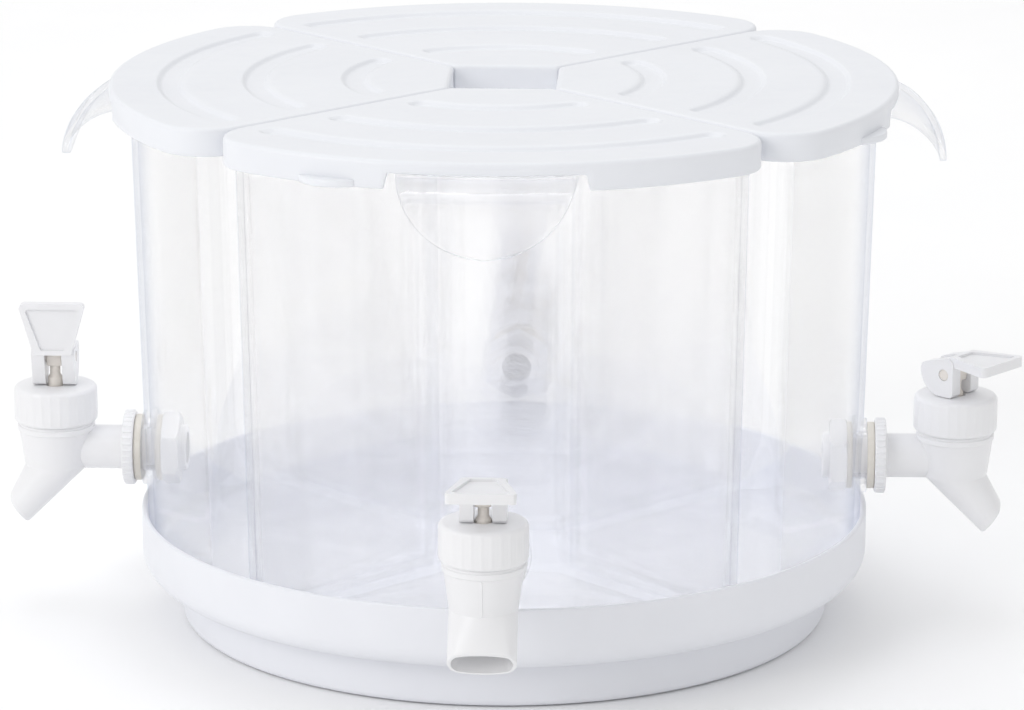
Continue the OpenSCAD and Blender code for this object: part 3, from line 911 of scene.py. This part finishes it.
def tap_body_piece():
    """Threaded tube, ribbed flange, barrel with collar and slanted spout, as one moulding."""
    flange_x = BOSS_X + 2.7
    slope = math.radians(SPOUT_SLOPE)
    along = Vector((math.sin(slope), 0, -math.cos(slope)))
    spout = spout_loops(BARREL_FOOT_R, 0, BARREL_FOOT_Z, 0)
    lip = shifted(spout_loops(BARREL_FOOT_R, 0, BARREL_FOOT_Z, 0.35, 1)[-1], along * 0.35)
    barrel = rings([(11.9, NECK_TOP), (12.2, NECK_TOP - 0.3), (12.2, 9.62), (13.0, 9.55),
                    (13.05, 9.4),
                    (13.05, 8.75), (13.25, 8.65), (13.5, 8.4), (13.5, 6.9), (13.3, 6.6),
                    (12.95, 6.42), (12.88, 6.1),
                    (BARREL_FOOT_R + 0.06, BARREL_FOOT_Z + 0.4)])
    body = loft("tap_body", barrel + spout + [lip], cap_start=True, cap_end=True)
    moved(body, x=TAP_X, z=TAP_Z)
    tube = spun("tube", round_corners(
        [(0, TUBE_END_X), (THREAD_R, TUBE_END_X), (THREAD_R, flange_x), (12.8, flange_x),
         (12.8, flange_x + 3.9), (TUBE_R, flange_x + 3.9), (TUBE_R, TAP_X - 1), (0, TAP_X - 1)],
        [0, 0.6, 0.2, 0.5, 0.5, 0.9, 0, 0]), 96, axis="x")
    combine(body, moved(tube, z=TAP_Z), "UNION")
    bore = spun("bore", [(0, TUBE_END_X - 2), (5.5, TUBE_END_X - 2), (5.5, TAP_X - 4),
                          (0, TAP_X - 4)], 64, axis="x")
    combine(body, moved(bore, z=TAP_Z), "DIFFERENCE")
    throat = rings([(9.4, NECK_TOP + 1), (9.4, SEAT_Z), (6.3, SEAT_Z + 0.02), (6.3, SEAT_Z - 2.6)])
    chamber = loft("chamber", throat, cap_start=True, cap_end=True)
    combine(body, moved(chamber, x=TAP_X, z=TAP_Z), "DIFFERENCE")
    inner = spout_loops(7.6, 1.5, SEAT_Z - 2.2, 1.2)
    outlet = loft("outlet", inner + [shifted(inner[-1], along * 2)], cap_start=True, cap_end=True)
    combine(body, moved(outlet, x=TAP_X, z=TAP_Z), "DIFFERENCE")
    for i in range(FLANGE_RIBS):
        rib = spun("rib", round_corners([(0, 0.35), (0.55, 0.35), (0.55, 3.55), (0, 3.55)],
                                         [0, 0.3, 0.3, 0], 3), 10, axis="x")
        angle = 2 * math.pi * i / FLANGE_RIBS
        moved(rib, flange_x, 12.6 * math.cos(angle), TAP_Z + 12.6 * math.sin(angle))
        join(body, rib)
    turns = 9
    pitch = (flange_x - 2.2 - TUBE_END_X) / turns
    thread_path = []
    for i in range(turns * 34 + 1):
        angle = 2 * math.pi * i / 34
        thread_path.append((TUBE_END_X + 1 + pitch * i / 34, (THREAD_R - 0.15) * math.cos(angle),
                            TAP_Z + (THREAD_R - 0.15) * math.sin(angle)))
    join(body, sweep("thread", thread_path, 0.32, 6))
    seam_path = []
    for i in range(13):
        t = i / 12
        seam_path.append((TAP_X + BARREL_R - 0.1 + (BARREL_FOOT_R - BARREL_R + 0.1) * t, 0,
                          TAP_Z + 6.0 + (BARREL_FOOT_Z - 5.8) * t))
    join(body, sweep("parting_line", seam_path, 0.3, 8))
    return shade(body, 27)


def sweep(name, path, radius, sides):
    """A round tube of the given radius along a path of points."""
    loops = []
    side = Vector((0, 0, 1))
    for i, point in enumerate(path):
        here = Vector(point)
        ahead = Vector(path[min(i + 1, len(path) - 1)])
        back = Vector(path[max(i - 1, 0)])
        along = (ahead - back).normalized()
        side = (side - along * side.dot(along)).normalized()
        other = along.cross(side)
        loops.append([tuple(here + side * (radius * math.cos(2 * math.pi * k / sides))
                            + other * (radius * math.sin(2 * math.pi * k / sides)))
                      for k in range(sides)])
    return loft(name, loops, cap_start=True, cap_end=True)


def tap_cap_piece():
    """Screw cap: rounded ribs round the grip, chamfered foot, soft top edge, stem hole."""
    height = CAP_BOX[1].z - CAP_BOX[0].z + 0.25
    base = CAP_BOX[0].z - 0.25
    ribs = 28
    count = ribs * 10

    def loop(radius, z, rib):
        points = []
        for i in range(count):
            angle = 2 * math.pi * i / count
            wave = max(0.0, math.cos(angle * ribs)) ** 1.4
            r = radius + rib * 0.16 * wave
            points.append((r * math.cos(angle), r * math.sin(angle), z))
        return points

    body = CAP_R - 0.28
    profile = [(3.3, base + height - 2.2, 0), (3.3, base + height - 0.2, 0), (3.5, base + height, 0),
               (body - 1.6, base + height, 0), (body - 1.0, base + height - 0.12, 0),
               (body - 0.45, base + height - 0.42, 0.15), (body - 0.12, base + height - 0.95, 0.6),
               (body, base + height - 1.6, 1), (body, base + 3, 1), (body, base + 1.4, 1),
               (body - 0.06, base + 0.9, 0.8), (body - 0.3, base + 0.4, 0.3),
               (body - 0.7, base + 0.08, 0.1), (body - 1.0, base, 0), (12.5, base, 0),
               (12.3, base + 0.2, 0), (12.3, base + height - 2.2, 0)]
    cap = loft("tap_cap", [loop(r, z, rib) for r, z, rib in profile], wrap=True)
    moved(cap, x=TAP_X)
    return shade(cap, 42)


EAR_DROP = 7.8
PLUG_LIFT = 2.0
EAR_RISE = 6.8
EAR_BACK_FALL = 3.0
EAR_FRONT = 4.0
EAR_T = 4.5
EAR_GAP = 6.0
PADDLE_T = 3.5
PADDLE_ROOT_X = 2.0
PADDLE_ROOT_W = 13.0
LEVER_REACH = 20.4
PADDLE_TIP_W = 23.6
PIN_R = 2.0
SPRING_R = 3.9
SPRING_WIRE_R = 0.38
STEM_R = 2.6
STEM_WAIST_R = 1.8


def cam_points(steps=12):
    """The ear's cam: its height over the cap grows evenly as the lever flips up."""
    rate = PLUG_LIFT * 2 / math.pi
    points = []
    for i in range(steps + 1):
        turn = math.pi / 2 * i / steps
        support = EAR_DROP + PLUG_LIFT * i / steps
        points.append((-support * math.sin(turn) - rate * math.cos(turn),
                       -support * math.cos(turn) + rate * math.sin(turn)))
    return points


def paddle_outline(side, root, tip, radii):
    """The paddle's fan outline moved in by side, root and tip, corners rounded."""
    root_half = PADDLE_ROOT_W / 2 - side
    tip_half = PADDLE_TIP_W / 2 - side
    return round_corners([(PADDLE_ROOT_X + root, -root_half), (LEVER_REACH - tip, -tip_half),
                          (LEVER_REACH - tip, tip_half), (PADDLE_ROOT_X + root, root_half)],
                         radii, 6)


def lever_piece():
    """Forked lever: two cam ears with the pin's hole and a fan paddle with a raised border."""
    back = -EAR_DROP - PLUG_LIFT
    top = EAR_RISE - EAR_BACK_FALL
    ear_outline = ([(EAR_FRONT, EAR_RISE - PADDLE_T / 2), (EAR_FRONT, -EAR_DROP + 1),
                    (EAR_FRONT - 1, -EAR_DROP)] + cam_points()
                   + [(back, top - 2.2), (back + 0.7, top - 0.7), (back + 2.2, top),
                      (PADDLE_ROOT_X, EAR_RISE - 0.6)])
    ears = prism("ears", ear_outline, -EAR_GAP / 2 - EAR_T, EAR_GAP / 2 + EAR_T, plane="xz")
    slot = prism("slot", [(back - 2, -EAR_GAP / 2), (EAR_FRONT + 1, -EAR_GAP / 2),
                          (EAR_FRONT + 1, EAR_GAP / 2), (back - 2, EAR_GAP / 2)],
                 -EAR_DROP - 3, EAR_RISE + 3)
    combine(ears, slot, "DIFFERENCE")
    paddle = prism("paddle", paddle_outline(0, 0, 0, [0.4, 1.6, 1.6, 0.4]),
                   EAR_RISE - PADDLE_T, EAR_RISE)
    combine(ears, paddle, "UNION")
    recess = prism("recess", paddle_outline(2.4, 1.6, 2.0, 1.0), EAR_RISE - 0.9, EAR_RISE + 2)
    combine(ears, recess, "DIFFERENCE")
    hole_r = PIN_R + 0.05
    hole = spun("pin_hole", [(0, -9), (hole_r, -9), (hole_r, 9), (0, 9)], 40)
    combine(ears, turned(hole, 90, "X"), "DIFFERENCE")
    soften(ears, 0.38, 3, angle=28)
    return ears


def stem_piece(station):
    """Stem with a T head: waisted neck between the ears, round arms that are the lever's pin."""
    lift = PLUG_LIFT * LEVER_UP[station]
    cap_top = top_mm(f"tap_cap_{station}")
    pin_z = cap_top + 0.3 + EAR_DROP + lift
    bottom = bottom_mm(f"tap_stem_{station}")
    collar = TAP_Z + 1.4 + lift
    shoulder = cap_top + 0.7 + lift
    stem = spun(f"tap_stem_{station}_look", round_corners(
        [(0, bottom), (STEM_R, bottom), (STEM_R, collar), (4.4, collar), (4.4, collar + 1.4),
         (STEM_R, collar + 1.4), (STEM_R, shoulder), (STEM_WAIST_R, shoulder + 1.2),
         (STEM_WAIST_R, pin_z - 3.8), (2.2, pin_z - 2.4), (0, pin_z)],
        [0, 0.4, 0.2, 0.3, 0.3, 0.2, 0.6, 0.6, 0.6, 0.3, 0], 4), 40)
    arm = EAR_GAP / 2 + EAR_T - 0.2
    arms = spun("arms", round_corners([(0, -arm), (PIN_R, -arm), (PIN_R, arm), (0, arm)],
                                       [0, 0.35, 0.35, 0], 4), 40)
    turned(arms, 90, "X")
    web = prism("web", round_corners([(-2.5, -3.0), (2.5, -3.0), (2.9, 0.8), (1.9, 2.9), (-1.9, 2.9),
                                      (-2.9, 0.8)], 0.7, 4), -2.6, 2.6, plane="xz")
    soften(web, 0.4, 3)
    join(arms, web)
    moved(arms, z=pin_z)
    join(stem, turned(arms, LEVER_SWIVEL[station]))
    moved(stem, x=TAP_X)
    return shade(stem, 40)


def spring_piece(station):
    """Helical compression spring with closed ends, over the stem's collar."""
    low = bottom_mm(f"tap_spring_{station}") + 0.4
    high = top_mm(f"tap_spring_{station}") - 0.4
    turns = 6
    steps = 26 * turns
    path = []
    for i in range(steps + 1):
        t = i / steps
        rise = min(1.0, max(0.0, (t * turns - 0.8) / (turns - 1.6)))
        angle = 2 * math.pi * turns * t
        path.append((TAP_X + SPRING_R * math.cos(angle), SPRING_R * math.sin(angle),
                     low + (high - low) * rise))
    return shade(sweep(f"tap_spring_{station}_look", path, SPRING_WIRE_R, 10), 60)


def plug_piece(station):
    bottom = bottom_mm(f"tap_plug_{station}")
    outline = round_corners([(0, 0), (7.2, 0), (8.4, 1.1), (8.4, 2.2), (5.1, 3.3), (4.2, 6), (2.66, 6),
                             (2.66, 1.4), (0, 1.4)], [0, 0.6, 0.5, 0.5, 0.9, 0.5, 0.3, 0.2, 0], 4)
    plug = spun(f"tap_plug_{station}_look", [(r, h + bottom) for r, h in outline], 64)
    return shade(moved(plug, x=TAP_X), 45)


def nut_piece():
    """Hexagonal lock nut with chamfered corners and a washer face."""
    across = 13.2
    hexagon = []
    for i in range(6):
        angle = math.radians(60 * i)
        hexagon.append((across * math.cos(angle), across * math.sin(angle)))
    nut = prism("nut", round_corners(hexagon, 0.8, 3), 0, 6)
    chamfer = spun("chamfer", [(0, -0.01), (11.9, -0.01), (13.4, 0.9), (13.4, 5.1), (11.9, 6.01),
                                (0, 6.01)], 72)
    combine(nut, chamfer, "INTERSECT")
    bore = spun("nut_bore", [(0, -1), (7.95, -1), (7.95, 7), (0, 7)], 64)
    combine(nut, bore, "DIFFERENCE")
    soften(nut, 0.25, 2)
    turned(nut, 90, "Y")
    return moved(nut, x=NUT_X, z=TAP_Z)


def washer_piece(station, part):
    low, high = [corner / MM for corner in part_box(f"{part}_right")]
    outline = round_corners([(8.1, low.x), (11.6, low.x), (11.6, high.x), (8.1, high.x)], 0.5, 4)
    washer = lathe(f"{part}_{station}_look", outline, 80, axis="x")
    return shade(moved(washer, z=TAP_Z), 50)


# ------------------------------------------------------------------ assembly

def copy_of(obj, name):
    twin = bpy.data.objects.new(name, obj.data.copy())
    bpy.context.scene.collection.objects.link(twin)
    return twin


def build_stations():
    """The eleven pieces of each station, each lever at its own turn and flip."""
    tank = tank_piece()
    lid = lid_piece()
    body = tap_body_piece()
    cap = tap_cap_piece()
    lever = lever_piece()
    nut = nut_piece()
    for station in STATIONS:
        holder = f"tank_{station}"
        for part, pattern, carrier, material, slot in (
                ("tank", tank, holder, CLEAR, "clear_tank"),
                ("lid", lid, f"lid_{station}", LID_WHITE, "white_lid"),
                ("tap_body", body, holder, TAP_WHITE, "white_tap"),
                ("tap_cap", cap, holder, TAP_WHITE, "white_tap"),
                ("tap_nut", nut, holder, TAP_WHITE, "white_tap")):
            place(copy_of(pattern, f"{part}_{station}_look"), station, part, carrier, material)
        for part in ("washer_outer", "washer_inner"):
            place(washer_piece(station, part), station, part, holder, SEAL)
        place(spring_piece(station), station, "tap_spring", f"plug_{station}", SPRING_STEEL,
              holder)
        place(plug_piece(station), station, "tap_plug", f"plug_{station}", SEAL)
        place(stem_piece(station), station, "tap_stem", f"stem_{station}", NYLON)
        lift = PLUG_LIFT * LEVER_UP[station]
        arm = copy_of(lever, f"tap_lever_{station}_look")
        turned(arm, -90 * LEVER_UP[station], "Y")
        turned(arm, LEVER_SWIVEL[station])
        moved(arm, x=TAP_X, z=CAP_BOX[1].z + 0.3 + EAR_DROP + lift)
        place(arm, station, "tap_lever", f"lever_{station}", TAP_WHITE)
    for pattern in (tank, lid, body, cap, lever, nut):
        bpy.data.objects.remove(pattern)


def build_base():
    """Tray and foot are shaped here. The small parts between them keep their CAD shape."""
    for piece, node, body in ((tray_piece(), "tray", "tray"), (foot_piece(), "foot", "foot")):
        dress(piece, BASE_WHITE)
        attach(piece, body)
        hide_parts(node)
    for node, material in (("foot_pads", PAD), ("ball_cage", CAGE_WHITE),
                           ("bearing_balls", BALL_STEEL), ("pivot_screw", ZINC),
                           ("pivot_washer", ZINC)):
        dress(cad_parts[node], material)


# ------------------------------------------------------------------ floor, light, camera

def floor():
    size = 3.0
    sheet = piece_from("floor", [(-size / MM, -size / MM, 0), (size / MM, -size / MM, 0),
                                 (size / MM, size / MM, 0), (-size / MM, size / MM, 0)],
                       [(0, 1, 2, 3)])
    m = Material("studio_floor", Roughness=0.7, Specular_IOR_Level=0.2)
    m.tint(m.noise(6, 3), (0.95, 0.95, 0.955), (0.965, 0.965, 0.965))
    m.rough(m.noise(40, 3), 0.62, 0.75)
    dress(sheet, m.material)


def area_light(name, place_at, aim, size, power, colour=(1, 1, 1)):
    lamp = bpy.data.lights.new(name, "AREA")
    lamp.shape = "DISK"
    lamp.size = size
    lamp.energy = power
    lamp.color = colour
    holder = bpy.data.objects.new(name, lamp)
    bpy.context.scene.collection.objects.link(holder)
    holder.location = place_at
    holder.rotation_euler = (Vector(aim) - Vector(place_at)).to_track_quat("-Z", "Y").to_euler()
    return holder


def studio():
    """White surroundings, a little brighter on the left, with four soft lamps.

    The key is on the left, one is overhead, one lights the floor behind, and a small hidden one
    lights the tanks from under the lids."""
    world = bpy.data.worlds.new("studio")
    bpy.context.scene.world = world
    world.use_nodes = True
    tree = world.node_tree
    sky = tree.nodes["Background"]
    sky.inputs["Color"].default_value = (1.0, 1.0, 1.0, 1)
    direction = tree.nodes.new("ShaderNodeTexCoord")
    parts = tree.nodes.new("ShaderNodeSeparateXYZ")
    fall = tree.nodes.new("ShaderNodeMapRange")
    for key, number in (("From Min", -1), ("From Max", 1),
                        ("To Min", 0.90), ("To Max", 0.76)):
        fall.inputs[key].default_value = number
    tree.links.new(direction.outputs["Generated"], parts.inputs["Vector"])
    tree.links.new(parts.outputs["X"], fall.inputs["Value"])
    tree.links.new(fall.outputs["Result"], sky.inputs["Strength"])
    middle = (0, 0, 0.1)
    area_light("key", (-1.5, -1.4, 1.2), middle, 1.2, 11, (1.0, 0.99, 0.98))
    area_light("top", (-0.3, 0.5, 2.2), middle, 1.4, 5, (0.97, 0.98, 1.0))
    area_light("floor behind", (0, 1.1, 1.1), (0, 0.9, 0), 1.0, 1.6)
    fill = area_light("fill under the lids", (0, 0, 0.172), (0, 0, 0), 0.2, 0.095)
    fill.visible_camera = False
    fill.visible_glossy = False
    fill.visible_transmission = False
    scene = bpy.context.scene
    scene.view_settings.view_transform = "Standard"
    scene.cycles.max_bounces = 24
    scene.cycles.transmission_bounces = 24
    scene.cycles.transparent_max_bounces = 48
    scene.cycles.diffuse_bounces = 6
    scene.cycles.glossy_bounces = 4


def camera():
    distance = 1.623
    height = 0.528
    azimuth = math.radians(2.4)
    pitch = math.radians(15.08)
    yaw = math.radians(0.097)
    data = bpy.data.cameras.new("camera")
    data.sensor_width = 36
    data.lens = 169.9
    data.clip_end = 20
    holder = bpy.data.objects.new("camera", data)
    bpy.context.scene.collection.objects.link(holder)
    holder.location = (distance * math.sin(azimuth), -distance * math.cos(azimuth), height)
    holder.rotation_euler = (math.pi / 2 - pitch, 0, azimuth - yaw)
    bpy.context.scene.camera = holder


build_stations()
build_base()
floor()
studio()
camera()
